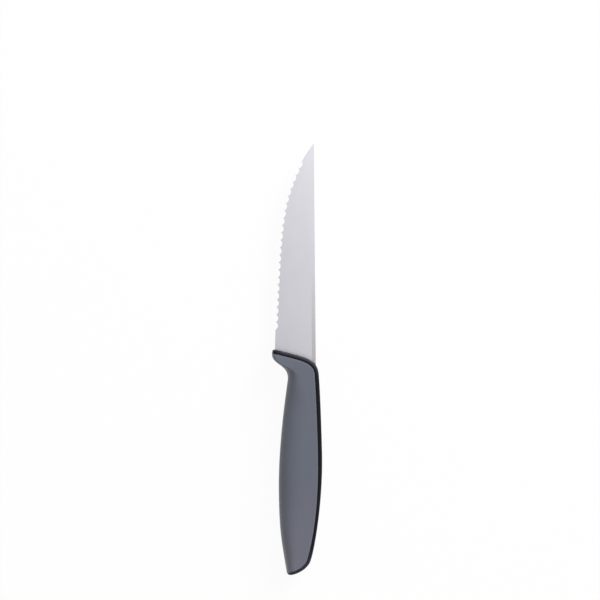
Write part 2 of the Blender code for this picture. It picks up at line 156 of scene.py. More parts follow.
# The floor, the lamps and the camera.
WHITE = (1, 1, 1, 1)
FLOOR_WIDTH = 6
FLOOR_GLOW = 0.95
KEY_WIDTH = 0.7
KEY_PLACE = (0.10, 0.505, 1.0)
FILL_WIDTH = 1.4
FILL_PLACE = (1.60, 1.90, 1.17)
NEAR_CLIP = 0.01

# The sizes of the handle that its tree takes in.
SWELL_SIZES = (
    'thickness', 'length', 'belly_round', 'butt_round', 'nose_round', 'notch_round', 'notch_lead',
    'notch_blend', 'belly_lead', 'belly_blend', 'nose_thinning', 'nose_taper', 'guard_top_up',
    'rim_radius', 'butt_thinning', 'butt_taper',
)


def size(label, text, default):
    """A length that a user can change."""
    return FloatProperty(name=label, description=text, default=default, unit='LENGTH', precision=6)


def share(label, text, default):
    """A share from 0 to 1 that a user can change."""
    return FloatProperty(name=label, description=text, default=default, min=0, max=1, subtype='FACTOR')


def tint(label, text, default):
    """A linear colour that a user can change."""
    return FloatVectorProperty(
        name=label, description=text, default=default, min=0, max=1, subtype='COLOR')


def power(label, text, default):
    """A lamp's power that a user can change."""
    return FloatProperty(name=label, description=text, default=default, min=0, unit='POWER')


class BladeSizes(PropertyGroup):
    point_reach: size("Point reach", "From the shoulder to the blade's point", 0.109097)
    width: size("Width", "From the spine to the edge beside the handle", 0.02015)
    stock: size("Stock", "Thickness of the sheet that the blade is cut from", 0.0014)
    edge_thickness: size("Edge thickness", "Thickness behind the bevel", 0.0004)
    spine_flat: size("Spine flat", "Width of the strip along the spine that isn't ground", 0.00165)
    spine_round: size("Spine rounding", "Radius of the spine's two corners", 0.00003)
    bend_back: size("Bend back", "From the point back to where the belly of the edge ends", 0.0331)
    bend_reach: size("Bend reach", "From the spine to the edge at that place", 0.015)
    bevel_angle: FloatProperty(
        name="Bevel angle", description="Slope of the scallops' ground faces on the back",
        default=math.radians(15), subtype='ANGLE')
    burr_width: size("Face bevel", "Width of the narrow bevel on the face side", 0.0001)
    burr_drop: size("Face bevel drop", "How far that bevel falls to the edge", 0.00001)
    tip_plain: size("Plain tip", "Length of edge without scallops at the point", 0.0108)
    heel_plain: size("Plain heel", "Length of edge without scallops beside the handle", 0.0098)
    tooth_pitch: size("Scallop pitch", "From one point of the serration to the next", 0.00369)
    tooth_depth: size("Scallop depth", "How far a scallop is ground in from the points", 0.00115)
    seat: size("Seat", "How deep the blade sits in the handle's front", 0.0012)
    spine_lap: size("Spine seat", "How deep it sits at its spine", 0.0004)
    tang_short: size("Tang short", "How far the tang ends before the butt", 0.032)
    tang_root: size("Tang root", "Width of the tang at the shoulder", 0.0085)
    tang_end: size("Tang end", "Width of the tang at its end", 0.0065)
    tang_inset: size("Tang inset", "From the spine to the tang", 0.0018)
    tang_lean: size("Tang lean", "How far the tang drifts towards the belly", 0.0022)
    tang_hole: size("Tang holes", "Diameter of the holes in the tang", 0.0036)
    tang_hole_first: size("First tang hole", "From the shoulder to the first hole", 0.018)
    tang_hole_pitch: size("Tang hole pitch", "From one hole to the next", 0.021)


class HandleSizes(PropertyGroup):
    length: size("Length", "From the shoulder to the butt", 0.104)
    guard_drop: size("Guard drop", "How far the guard reaches past the blade's edge", 0.00147)
    guard_nose_up: size("Guard nose up", "Height of the guard's nose above the shoulder", 0.0049)
    guard_top_drop: size("Guard top drop", "How far the guard's top reaches past the edge", 0.00035)
    guard_top_up: size("Guard top up", "Height of the guard's top above the shoulder", 0.00733)
    shoulder_reach: size("Front reach", "Reach of the knot in the front line", 0.00604)
    shoulder_up: size("Front up", "Height of that knot", 0.00345)
    neck_swell: size("Neck swell", "How far the neck stands out behind the spine", 0.0016)
    neck_back: size("Neck back", "Where the neck is", 0.008)
    spine_swell: size("Back swell", "How far the back of the handle swells", 0.002725)
    spine_swell_back: size("Back swell place", "Where it swells most", 0.046)
    butt_spine_reach: size("Butt corner reach", "Reach of the butt's upper corner", 0.00372)
    butt_spine_rise: size("Butt corner rise", "Height of that corner above the butt", 0.00642)
    butt_reach: size("Butt reach", "Reach of the butt's lowest point", 0.0139)
    butt_belly_reach: size("Butt belly reach", "Reach of the belly where the butt begins", 0.0153)
    butt_belly_rise: size("Butt belly rise", "Height of that place above the butt", 0.0016)
    belly_reach: size("Belly reach", "Reach of the belly's fullest place", 0.01882)
    belly_back: size("Belly back", "Where the belly is fullest", 0.062)
    notch_reach: size("Notch reach", "Reach of the finger notch", 0.01385)
    notch_back: size("Notch back", "Where the finger notch is deepest", 0.0068)
    thickness: size("Thickness", "Thickness over the flanks", 0.0135)
    butt_thinning: size("Butt thinning", "How much thinner the butt is", 0.0006)
    butt_taper: size("Butt taper", "Length over which it thins", 0.034)
    belly_round: size("Belly round", "How far in from the belly the flanks round over", 0.0125)
    butt_round: size("Butt round", "How far in they round over at the butt", 0.004)
    nose_round: size("Nose round", "How far in from its edge the guard's nose rounds over", 0.0018)
    notch_round: size("Notch rounding", "How far in the belly's rounding reaches in the notch", 0.0075)
    notch_lead: size("Notch lead", "Where it starts to widen, ahead of the shoulder", 0.0005)
    notch_blend: size("Notch blend", "Length over which it widens to the notch's", 0.0045)
    belly_lead: size("Belly lead", "Where it widens further, ahead of the shoulder", -0.007)
    belly_blend: size("Belly blend", "Length over which it widens to the belly's", 0.013)
    nose_thinning: size("Nose thinning", "How much thinner the guard is at its front", 0.0019)
    nose_taper: size("Nose taper", "Length over which it thins", 0.0092)
    rim_radius: size("Rim radius", "Radius along the band's outer edge", 0.0016)
    band_width: size("Band width", "Width of the hard band beside the grip", 0.00195)
    waist_band_width: size("Waist band width", "Its width where the handle narrows to the butt", 0.00155)
    corner_band_width: size("Corner band width", "Its width at the butt's corner", 0.00175)
    butt_band_width: size("Butt band width", "Its width at the butt's end", 0.00125)
    band_ease: size("Band edge", "Radius of the band's edge along the seam", 0.00018)
    grip_ease: size("Grip edge", "Radius of the grip's edge along the seam", 0.0004)
    seam_gap: size("Seam gap", "Groove between the band and the grip", 0.00007)
    blade_gap: size("Blade gap", "Room round the blade in the handle's front", 0.00006)
    tang_gap: size("Tang gap", "Room round the tang", 0.0003)


class CoreSizes(PropertyGroup):
    grip_skin: size("Grip skin", "Thickness of the soft grip on the flanks", 0.0031)
    belly_skin: size("Belly skin", "Thickness of the soft grip at the belly", 0.002)
    lap: size("Core lap", "How far the core runs into the band", 0.00095)
    rounding: size("Core rounding", "How far the core's sides round out", 0.0022)
    corner: size("Core corner", "Radius of the core's sharp corners", 0.0004)
    flange: size("Flange", "Thickness of the flange round the core", 0.0026)
    flange_lap: size("Flange lap", "How far the flange runs into the band", 0.0006)
    flange_skin: size("Flange skin", "Thickness of the grip outside the flange", 0.0015)
    gap: size("Core gap", "Room between the core and the grip", 0.0003)
    lock: size("Lock holes", "Diameter of the holes that hold the grip", 0.005)
    lock_reach: size("Lock reach", "Reach of those holes", 0.0094)
    lock_first: size("First lock hole", "From the tang's end to the first hole", 0.0095)
    lock_pitch: size("Lock pitch", "From one lock hole to the next", 0.009)
    lock_clear: size("Lock clearance", "How far the holes stay from the butt", 0.012)


class Finishes(PropertyGroup):
    steel: tint("Steel", "Colour of the satin steel by the spine", (0.632, 0.624, 0.667))
    # Painted shade: the steel's colour beside the edge, darker than by the spine.
    steel_edge_shade: tint("Steel by the edge", "Its colour beside the edge", (0.588, 0.577, 0.619))
    # Painted shade: a darker colour on the spine's unground strip, fading out towards the point.
    steel_strip_shade: tint("Spine strip", "Colour of the spine's strip by the handle", (0.508, 0.489, 0.513))
    steel_roughness: share("Steel roughness", "How blurred the steel's reflections are", 0.33)
    grip: tint("Grip", "Colour of the soft grip", (0.1240, 0.1365, 0.1740))
    # Painted light: a paler, warmer colour that the grip fades to towards the butt.
    grip_butt_light: tint("Grip at the butt", "Its colour towards the butt", (0.1530, 0.1540, 0.1950))
    grip_roughness: share("Grip roughness", "How dull the soft grip is", 0.58)
    grip_gloss: share("Grip gloss", "How much the soft grip reflects", 0.5)
    grip_sheen: share("Grip sheen", "How much its dusty skin shows at a slant", 0.6)
    band: tint("Band", "Colour of the hard band along the side", (0.0088, 0.0087, 0.0135))
    # Painted highlight: the band's lighter colour on the front rim and at the butt.
    band_highlight: tint("Pale band", "Its colour on the front rim and at the butt", (0.0370, 0.0355, 0.0460))
    band_gloss: share("Band gloss", "How much the band reflects", 0.07)
    band_roughness: share("Band roughness", "How dull the band is", 0.38)


class StageSettings(PropertyGroup):
    floor: tint("Floor", "Colour of the floor", (0.99, 0.99, 0.99))
    camera_height: size("Camera height", "From the floor to the camera", 1.6)
    framed: size("Framed width", "Width that the picture shows at the knife's middle", 0.2965)
    centre: FloatVectorProperty(
        name="Centre", description="The place on the floor below the camera", size=2,
        default=(0.00194, 0.02915), unit='LENGTH', precision=5)
    roll: FloatProperty(
        name="Roll", description="Turn of the picture", default=math.radians(-0.5), subtype='ANGLE')
    key: power("Key light", "Power of the soft lamp above the point", 1.0)
    fill: power("Fill light", "Power of the large lamp beside the point", 101.0)
    sky: share("Sky", "Brightness of the room's light", 0.30)


def even(count):
    """Shares from 0 to 1 in even steps."""
    return np.linspace(0, 1, count + 1)


def quarter(count):
    """Angles over a quarter turn in even steps."""
    return np.linspace(0, math.pi / 2, count + 1)


def numbered(rows, columns):
    """The numbers of a grid's points."""
    return np.arange(rows * columns).reshape(rows, columns)


def cells(index):
    """The quads between the points of a grid."""
    quads = np.stack([index[:-1, :-1], index[:-1, 1:], index[1:, 1:], index[1:, :-1]], axis=-1)
    return quads.reshape(-1, 4).tolist()


def ring_cells(index):
    """The quads between closed rings of points."""
    return cells(np.column_stack([index, index[:, 0]]))


def heading(degrees):
    """The unit vector at an angle from +X."""
    angle = math.radians(degrees)
    return np.array([math.cos(angle), math.sin(angle)])


def smooth_path(knots, step=OUTLINE_STEP):
    """Points on cubic curves through knots of (x, y, heading, pull in, pull out).

    A pull is how far the curve holds to the knot's heading, as a share of the chord.
    """
    points = [np.array(knots[0][:2])]
    for (x0, y0, turn0, _, pull_out), (x1, y1, turn1, pull_in, _) in zip(knots, knots[1:]):
        start = np.array([x0, y0])
        end = np.array([x1, y1])
        chord = np.linalg.norm(end - start)
        leave = start + heading(turn0) * pull_out * chord
        arrive = end - heading(turn1) * pull_in * chord
        count = max(LEAST_STEPS, math.ceil(chord / step))
        for i in range(1, count + 1):
            t = i / count
            s = 1 - t
            points.append(s ** 3 * start + 3 * s * s * t * leave + 3 * s * t * t * arrive + t ** 3 * end)
    return np.array(points)


def run(path):
    """The distance along a path to each of its points."""
    return np.concatenate([[0], np.cumsum(np.linalg.norm(np.diff(path, axis=0), axis=1))])


def along(path, distances):
    """The points at given distances along a path."""
    lengths = run(path)
    return np.stack([np.interp(distances, lengths, path[:, i]) for i in (0, 1)], axis=-1)


def right_normals(path):
    """The unit normal to the right of the way along a path, at each point."""
    way = np.gradient(path, run(path), axis=0)
    way /= np.linalg.norm(way, axis=1)[:, None]
    return np.stack([way[:, 1], -way[:, 0]], axis=1)


def distance_to(path, points):
    """The distance of each point in rows of points to a path."""
    start = path[:-1]
    leg = np.diff(path, axis=0)
    found = []
    for row in points:
        offset = row[:, None, :] - start
        place = np.clip((offset * leg).sum(-1) / (leg * leg).sum(-1), 0, 1)
        found.append(np.linalg.norm(offset - leg * place[..., None], axis=-1).min(-1))
    return np.array(found)


def turn_index(path, degrees):
    """The first place along a path where it heads past an angle, turning clockwise."""
    way = np.diff(path, axis=0)
    angles = np.degrees(np.unwrap(np.arctan2(way[:, 1], way[:, 0])))
    return int(np.argmax(angles < degrees))


def spread(path, shares):
    """The points at shares of a path's length."""
    return along(path, shares * run(path)[-1])


def coons(first, last, start, end, t, u):
    """A grid of points between two long sides and the two short sides that join them."""
    t = t[:, None, None]
    u = u[None, :, None]
    ruled = (1 - u) * first[:, None] + u * last[:, None]
    ruled += (1 - t) * start[None] + t * end[None]
    corners = (1 - t) * ((1 - u) * start[0] + u * start[-1])
    return ruled - corners - t * ((1 - u) * end[0] + u * end[-1])


class HandleForm:
    """The handle's outline, and how far each place is from its belly and its rim."""

    def __init__(self, blade, handle):
        self.handle = handle
        guard = -blade.width - handle.guard_drop
        top = (-blade.width - handle.guard_top_drop, handle.guard_top_up)
        butt = (-handle.butt_reach, -handle.length)
        self.rim_knots = [
            (*top, -8, 0, 0.12),
            (-handle.shoulder_reach, handle.shoulder_up, -19.8, 0.25, 0.62),
            (handle.neck_swell, -handle.neck_back, -86, 0.30, 0.21),
            (handle.spine_swell, -handle.spine_swell_back, -90, 0.13, 0.475),
            (-handle.butt_spine_reach, handle.butt_spine_rise - handle.length, -116.5, 0.075, 0.48),
            (*butt, -180, 0.05, 0),
        ]
        self.belly_knots = [
            (*top, 172, 0, 0.36),
            (guard, handle.guard_nose_up, -90, 0.5, 0.357),
            (-handle.notch_reach, -handle.notch_back, -90, 0.486, 0.037),
            (-handle.belly_reach, -handle.belly_back, -90, 0.475, 0.488),
            (-handle.butt_belly_reach, handle.butt_belly_rise - handle.length, -81, 0.38, 0.36),
            (*butt, 0, 0.36, 0),
        ]
        self.rim = smooth_path(self.rim_knots)
        self.belly = smooth_path(self.belly_knots)
        self.normals = right_normals(self.rim)
        self.shoulder = turn_index(self.rim, SHOULDER_TURN)
        self.butt = turn_index(self.rim, BUTT_TURN)
        left = run(self.rim)[-1] - run(self.rim)
        widths = [
            handle.butt_band_width, handle.corner_band_width, handle.waist_band_width,
            handle.waist_band_width, handle.band_width,
        ]
        self.band = np.interp(left, BAND_PLACES, widths)
        self.measure()

    def measure(self):
        """Prepares the surface on which the distance from the belly is looked up."""
        t, u = [even(count) for count in LOOKUP_CELLS]
        belly_side = spread(self.belly, t)
        spine_side = spread(self.rim[self.shoulder:self.butt + 1], t)
        front_side = spread(self.rim[:self.shoulder + 1], u)
        end_side = spread(self.rim[self.butt:][::-1], u)
        places = coons(belly_side, spine_side, front_side, end_side, t, u)
        width = np.linalg.norm(spine_side - belly_side, axis=1)
        self.reach = (width[:, None] * u[None]).ravel()
        self.corners = [Vector((x, y, 0)) for x, y in places.reshape(-1, 2)]
        self.quads = cells(numbered(*places.shape[:2]).T)
        self.tree = BVHTree.FromPolygons(self.corners, self.quads)

    def from_belly(self, grid):
        """The distance of each point in rows of points from the belly, measured across the handle."""
        found = []
        for x, y in grid.reshape(-1, 2):
            place, _, face, _ = self.tree.find_nearest((x, y, 0))
            quad = self.quads[face]
            weights = interpolate.poly_3d_calc([self.corners[i] for i in quad], place)
            found.append(sum(weight * self.reach[i] for weight, i in zip(weights, quad)))
        return np.maximum(np.array(found).reshape(grid.shape[:2]), distance_to(self.belly, grid))

    def front_y(self, x):
        """Y of the handle's front outline at an X between the guard and the shoulder."""
        front = self.rim[:turn_index(self.rim, FRONT_TURN)]
        return np.interp(x, front[:, 0], front[:, 1])

    def inner_line(self, inset):
        """A line along the rim, set in from it and run on at both ends to the belly.

        It comes in three stretches, parted where the rim turns into the spine side and the butt,
        with how far along the belly it starts and ends.
        """
        line = self.rim + self.normals * np.broadcast_to(inset, len(self.rim))[:, None]
        first, start = self.run_on(line[0], line[0] - line[1], self.belly)
        last, end = self.run_on(line[-1], line[-1] - line[-2], self.belly[::-1])
        stretches = (
            np.vstack([first, line[:self.shoulder + 1]]),
            line[self.shoulder:self.butt + 1],
            np.vstack([line[self.butt:], last]),
        )
        return stretches, start, run(self.belly)[-1] - end

    def stations(self, inset, across, lengthwise):
        """That line's points at shares across the two ends, counted from the belly, and between."""
        (front, spine, end), _, _ = self.inner_line(inset)
        return np.vstack([
            spread(front, across),
            spread(spine, lengthwise)[1:-1],
            spread(end, 1 - across[::-1]),
        ])

    def run_on(self, start, way, belly):
        """Where a line from a start meets the belly, and how far along the belly that is."""
        side = np.array([-way[1], way[0]]) / np.linalg.norm(way)
        height = (belly - start) @ side
        if np.linalg.norm(belly[0] - start) < MERGE:
            return belly[0], 0.0
        i = int(np.argmax(np.sign(height) != np.sign(height[0])))
        part = height[i - 1] / (height[i - 1] - height[i])
        lengths = run(belly)
        distance = lengths[i - 1] + part * (lengths[i] - lengths[i - 1])
        return along(belly, distance), distance


class Sheets:
    """Gathers grids of flat points for a shape that has two like faces and walls between them."""

    def __init__(self, form):
        self.form = form
        self.points = []
        self.values = {'from_belly': [], 'from_rim': [], 'from_seam': [], 'side': []}
        self.faces = []

    def add(self, grid, from_seam, on_belly):
        """Adds a grid as an upper and a lower face. Some of its columns lie on the belly's line."""
        shape = grid.shape[:2]
        from_belly = self.form.from_belly(grid)
        from_belly[:, on_belly] = 0
        from_rim = distance_to(self.form.rim, grid)
        added = []
        for side in (1, -1):
            index = numbered(*shape) + sum(len(part) for part in self.points)
            self.faces += cells(index)
            self.points.append(grid.reshape(-1, 2))
            parts = from_belly, from_rim, from_seam, side
            for values, part in zip(self.values.values(), parts):
                values.append(np.broadcast_to(part, shape).ravel())
            added.append(index)
        return added

    def wall(self, upper, lower):
        """Closes the shape between a line of the upper face and the same line of the lower."""
        quads = np.stack([upper[:-1], upper[1:], lower[1:], lower[:-1]], axis=-1)
        self.faces += quads.tolist()

    def build(self, name, seam_radius, finish):
        """Makes the mesh, lets the tree swell it and gives the closed result."""
        inputs = {key: getattr(self.form.handle, key) for key in SWELL_SIZES}
        inputs |= {'seam_radius': seam_radius, 'finish': finish}
        flat = np.concatenate(self.points)
        points = np.column_stack([flat, np.zeros(len(flat))])
        values = {key: np.concatenate(parts) for key, parts in self.values.items()}
        return run_tree(name, points, self.faces, values, swell_tree(), inputs)


def link(name, mesh):
    """A new object in the scene."""
    piece = bpy.data.objects.new(name, mesh)
    bpy.context.scene.collection.objects.link(piece)
    return piece


def mesh_of(piece):
    """The mesh that a piece's modifiers or its curve make."""
    graph = bpy.context.evaluated_depsgraph_get()
    return bpy.data.meshes.new_from_object(piece.evaluated_get(graph))


def close(mesh, merge=0):
    """Merges the points of a mesh that lie within a distance, and turns its faces outwards."""
    shape = bmesh.new()
    shape.from_mesh(mesh)
    if merge:
        bmesh.ops.remove_doubles(shape, verts=shape.verts, dist=merge)
    bmesh.ops.recalc_face_normals(shape, faces=shape.faces)
    shape.to_mesh(mesh)
    shape.free()


def run_tree(name, points, faces, values, tree, inputs):
    """An object whose mesh is what a tree makes of points that carry named values."""
    mesh = bpy.data.meshes.new(name)
    mesh.from_pydata(points.tolist(), [], faces)
    for key, value in values.items():
        kind, field = ('FLOAT_VECTOR', 'vector') if value.ndim == 2 else ('FLOAT', 'value')
        mesh.attributes.new(key, kind, 'POINT').data.foreach_set(field, value.astype(np.float32).ravel())
    piece = link(name, mesh)
    modifier = piece.modifiers.new(tree.name, 'NODES')
    modifier.node_group = tree
    sockets = {item.name: item.identifier for item in tree.interface.items_tree if item.in_out == 'INPUT'}
    for key, value in inputs.items():
        modifier[sockets[label_of(key)]] = value
    replace_mesh(piece)
    for key in values:
        # Keeps the share towards the rim, which places the band's painted highlight.
        if key != RIM_HIGHLIGHT_ATTRIBUTE:
            piece.data.attributes.remove(piece.data.attributes[key])
    close(piece.data)
    return piece


def replace_mesh(piece):
    """Makes the result of a piece's modifiers its own mesh."""
    made = mesh_of(piece)
    piece.modifiers.clear()
    old = piece.data
    piece.data = made
    bpy.data.meshes.remove(old)
    made.name = piece.name


def combine(piece, operation, tool):
    """Joins a tool's solid to a piece or cuts it away, and takes the tool out of the scene."""
    cut = piece.modifiers.new(operation.lower(), 'BOOLEAN')
    cut.operation = operation
    cut.object = tool
    cut.solver = 'EXACT'
    replace_mesh(piece)
    bpy.data.objects.remove(tool)


class Number:
    """A number that a node gives. Reckoning with it adds a math node for each step."""

    def __init__(self, tree, socket):
        self.tree = tree
        self.socket = socket

    def __add__(self, other):
        return calc(self.tree, 'ADD', self, other)

    def __sub__(self, other):
        return calc(self.tree, 'SUBTRACT', self, other)

    def __rsub__(self, other):
        return calc(self.tree, 'SUBTRACT', other, self)

    def __mul__(self, other):
        return calc(self.tree, 'MULTIPLY', self, other)

    def __truediv__(self, other):
        return calc(self.tree, 'DIVIDE', self, other)

    def __mod__(self, other):
        return calc(self.tree, 'FLOORED_MODULO', self, other)

    def __pow__(self, other):
        return calc(self.tree, 'POWER', self, other)

    def at_most(self, limit):
        return calc(self.tree, 'MINIMUM', self, limit)

    def at_least(self, limit):
        return calc(self.tree, 'MAXIMUM', self, limit)

    def root(self):
        return calc(self.tree, 'SQRT', self)


def plug(tree, value, socket):
    """Sets an input to a plain value, or links it to what another node gives."""
    if isinstance(value, Number):
        value = value.socket
    if isinstance(value, bpy.types.NodeSocket):
        tree.links.new(value, socket)
    else:
        socket.default_value = value


def add_node(tree, kind, inputs=(), **settings):
    """A new node with its settings, and with its inputs, by name or place, set or linked."""
    node = tree.nodes.new(kind)
    for key, value in settings.items():
        setattr(node, key, value)
    for key, value in dict(inputs).items():
        plug(tree, value, node.inputs[key])
    return node


def calc(tree, operation, *values):
    """The result of a math node over numbers."""
    node = add_node(tree, 'ShaderNodeMath', enumerate(values), operation=operation)
    return Number(tree, node.outputs[0])


def span(value, start, end, low=0, high=1, kind='LINEAR'):
    """A number that goes from low to high while a value goes from start to end."""
    inputs = {'Value': value, 'From Min': start, 'From Max': end, 'To Min': low, 'To Max': high}
    node = add_node(value.tree, 'ShaderNodeMapRange', inputs, interpolation_type=kind)
    return Number(value.tree, node.outputs['Result'])


def named(tree, name, kind='FLOAT'):
    """The value that each point carries under a name."""
    node = add_node(tree, 'GeometryNodeInputNamedAttribute', {'Name': name}, data_type=kind)
    return Number(tree, node.outputs['Attribute'])


def scaled(vector, factor):
    """A vector or a colour times a number."""
    inputs = {0: vector, 'Scale': factor}
    return add_node(factor.tree, 'ShaderNodeVectorMath', inputs, operation='SCALE').outputs[0]


def label_of(key):
    """The label of a tree's input."""
    return key.replace('_', ' ').capitalize()


def new_tree(name, inputs):
    """A geometry tree with inputs for sizes and its finish, its input node and the sizes by name."""
    tree = bpy.data.node_groups.new(name, 'GeometryNodeTree')
    sockets = {'geometry': 'Geometry', **inputs, 'finish': 'Material'}
    for key, kind in sockets.items():
        tree.interface.new_socket(label_of(key), in_out='INPUT', socket_type='NodeSocket' + kind)
    tree.interface.new_socket('Geometry', in_out='OUTPUT', socket_type='NodeSocketGeometry')
    source = tree.nodes.new('NodeGroupInput')
    return tree, source, {key: Number(tree, source.outputs[label_of(key)]) for key in inputs}


def finish_tree(tree, source, offset):
    """Moves the points, merges those that meet, makes the result real and sets its finish."""
    flow = source.outputs['Geometry']
    for kind, inputs in (
            ('GeometryNodeSetPosition', {'Offset': offset}),
            ('GeometryNodeMergeByDistance', {'Distance': MERGE}),
            ('GeometryNodeRealizeInstances', {}),
            ('GeometryNodeSetMaterial', {'Material': source.outputs['Finish']})):
        flow = add_node(tree, kind, {'Geometry': flow, **inputs}).outputs[0]
    add_node(tree, 'NodeGroupOutput', {'Geometry': flow})
    return tree


def swell_tree():
    """The rule of the handle's form: rounded over at the belly, eased at the rim and the seam."""
    inputs = dict.fromkeys([*SWELL_SIZES, 'seam_radius'], 'Float')
    tree, source, size_of = new_tree('handle_swell', inputs)
    position = tree.nodes.new('GeometryNodeInputPosition').outputs[0]
    y = Number(tree, add_node(tree, 'ShaderNodeSeparateXYZ', {0: position}).outputs['Y'])
    nose = (1 - (size_of['guard_top_up'] - y) / size_of['nose_taper']).at_least(0)
    butt = (1 - (size_of['length'] + y) / size_of['butt_taper']).at_least(0)
    thinner = nose * nose * size_of['nose_thinning'] + butt * butt * size_of['butt_thinning']
    round_over = size_of['belly_round'] + (size_of['butt_round'] - size_of['belly_round']) * butt
    width = size_of['nose_round']
    for stretch, wider in (('notch', size_of['notch_round']), ('belly', round_over)):
        past = (size_of[stretch + '_lead'] - y) / size_of[stretch + '_blend']
        width = span(past, 0, 1, width, wider, 'SMOOTHSTEP')
    outside = 1 - (named(tree, 'from_belly') / width).at_most(1)
    roll = (1 - outside ** ROLL_POWER).at_least(0).root()
    half = (size_of['thickness'] - thinner) / 2
    for distance, key in (('from_rim', 'rim_radius'), ('from_seam', 'seam_radius')):
        radius = size_of[key]
        short = radius - named(tree, distance).at_most(radius)
        half = half - (radius - (radius * radius - short * short).at_least(0).root())
    height = half * roll * named(tree, 'side')
    offset = add_node(tree, 'ShaderNodeCombineXYZ', {'Z': height})
    return finish_tree(tree, source, offset.outputs[0])


def scallop_tree():
    """Grinds the same scallop again and again along the edge, each an arc on its chord."""
    inputs = {'tooth_pitch': 'Float', 'tooth_depth': 'Float', 'teeth': 'Int'}
    tree, source, size_of = new_tree('scalloped_edge', inputs)
    pitch, depth, teeth = size_of.values()
    passed = named(tree, 'edge_run')
    half_pitch = pitch / 2
    from_middle = passed % pitch - half_pitch
    radius = (half_pitch * half_pitch + depth * depth) / 2 / depth
    notch = depth - radius + (radius * radius - from_middle * from_middle).root()
    inside = calc(tree, 'GREATER_THAN', passed, 0) * calc(tree, 'LESS_THAN', passed, pitch * teeth)
    notch = notch.at_least(0) * inside
    grind = named(tree, 'grind', 'FLOAT_VECTOR')
    return finish_tree(tree, source, scaled(grind, notch))


def rounded(corners):
    """A closed outline from (x, y, radius) corners, with an arc at each that has a radius.

    An arc is smaller where the sides of its corner are too short for it.
    """
    outline = []
    for i, (x, y, radius) in enumerate(corners):
        corner = np.array([x, y])
        if radius == 0:
            outline.append(corner)
            continue
        before = np.array(corners[i - 1][:2]) - corner
        after = np.array(corners[(i + 1) % len(corners)][:2]) - corner
        room = min(np.linalg.norm(before), np.linalg.norm(after)) / 2
        before /= np.linalg.norm(before)
        after /= np.linalg.norm(after)
        half_angle = math.acos(np.clip(before @ after, -1, 1)) / 2
        radius = min(radius, room * math.tan(half_angle))
        middle = before + after
        middle /= np.linalg.norm(middle)
        centre = corner + middle * radius / math.sin(half_angle)
        half_turn = math.pi / 2 - half_angle
        sideways = (after - before) / np.linalg.norm(after - before)
        for k in range(ARC_FACETS + 1):
            turn = half_turn * (2 * k / ARC_FACETS - 1)
            outline.append(centre + radius * (sideways * math.sin(turn) - middle * math.cos(turn)))
    return np.array(outline)


def circle(x, y, diameter):
    """A round hole's outline."""
    turns = 2 * math.pi * np.arange(HOLE_SIDES) / HOLE_SIDES
    return np.stack([x + diameter / 2 * np.cos(turns), y + diameter / 2 * np.sin(turns)], axis=1)


def plate(name, outlines, half_height, rounding=0.0):
    """A flat solid from closed outlines, the first its edge and the others its holes.

    A rounding swells the sides out beyond the outline, within the same height.
    """
    curve = bpy.data.curves.new(name, 'CURVE')
    curve.dimensions = '2D'
    curve.fill_mode = 'BOTH'
    curve.extrude = half_height - rounding
    curve.bevel_depth = rounding
    curve.bevel_resolution = SIDE_FACETS
    for outline in outlines:
        spline = curve.splines.new('POLY')
        spline.points.add(len(outline) - 1)
        for point, (x, y) in zip(spline.points, outline):
            point.co = (x, y, 0, 1)
        spline.use_cyclic_u = True
    source = link(name, curve)
    mesh = mesh_of(source)
    bpy.data.objects.remove(source)
    close(mesh, TINY / 10)
    return link(name, mesh)


def seat_y(blade, form, x):
    """Y of the place where the blade's shoulder sits in the handle's front."""
    deep = np.interp(x, [-blade.tang_inset, 0], [blade.seat, blade.spine_lap])
    return form.front_y(x) - deep


def tang_middle(blade, handle, back):
    """X of the tang's middle line, and its width, at a distance behind the shoulder."""
    part = back / (handle.length - blade.tang_short)
    middle = -blade.tang_inset - blade.tang_root / 2 - blade.tang_lean * part
    return middle, blade.tang_root + (blade.tang_end - blade.tang_root) * part


def tang_plate(blade, handle, form, clearance):
    """The tang with its holes, or the room that it needs in the core."""
    length = handle.length - blade.tang_short
    middle, width = tang_middle(blade, handle, length)
    root_middle, root_width = tang_middle(blade, handle, 0)
    root_start = root_middle - root_width / 2 - clearance
    root = np.linspace(root_start, -blade.tang_inset + clearance, ROOT_POINTS)
    front = seat_y(blade, form, root) + blade.seat * ROOT_OVERLAP
    corners = [(x, y, 0) for x, y in zip(root, front)]
    for side in (1, -1):
        corners.append((middle + side * (width / 2 + clearance), -length - clearance, TANG_CORNER))
    outlines = [rounded(corners)]
    for back in np.arange(blade.tang_hole_first, length - TANG_HOLE_END, blade.tang_hole_pitch):
        x, _ = tang_middle(blade, handle, back)
        outlines.append(circle(x, -back, blade.tang_hole - 2 * clearance))
    return plate('tang', outlines, blade.stock / 2 + clearance)


def face_slope(blade):
    """How steeply each ground face rises from the edge."""
    return (blade.stock - blade.edge_thickness) / 2 / (blade.width - blade.spine_flat)


def blade_half(blade, inward):
    """Half the ground blade's thickness at a distance in from the edge."""
    return np.minimum(blade.edge_thickness / 2 + face_slope(blade) * inward, blade.stock / 2)


def blade_room(blade, handle, form):
    """The slot for the blade's shoulder in the handle's front."""
    gap = handle.blade_gap
    x = np.linspace(-blade.width - gap, gap, ROOM_POINTS)
    back = seat_y(blade, form, np.minimum(x, 0)) - gap
    half = blade_half(blade, x + blade.width + gap) + gap
    front = np.full(ROOM_POINTS, ROOM_REACH)
    sides = (front, half), (back, half), (back, -half), (front, -half)
    rings = np.stack([np.column_stack([x, y, z]) for y, z in sides], axis=1)
    index = numbered(*rings.shape[:2])
    mesh = bpy.data.meshes.new('blade_room')
    faces = ring_cells(index) + index[[0, -1]].tolist()
    mesh.from_pydata(rings.reshape(-1, 3).tolist(), [], faces)
    close(mesh)
    return link('blade_room', mesh)


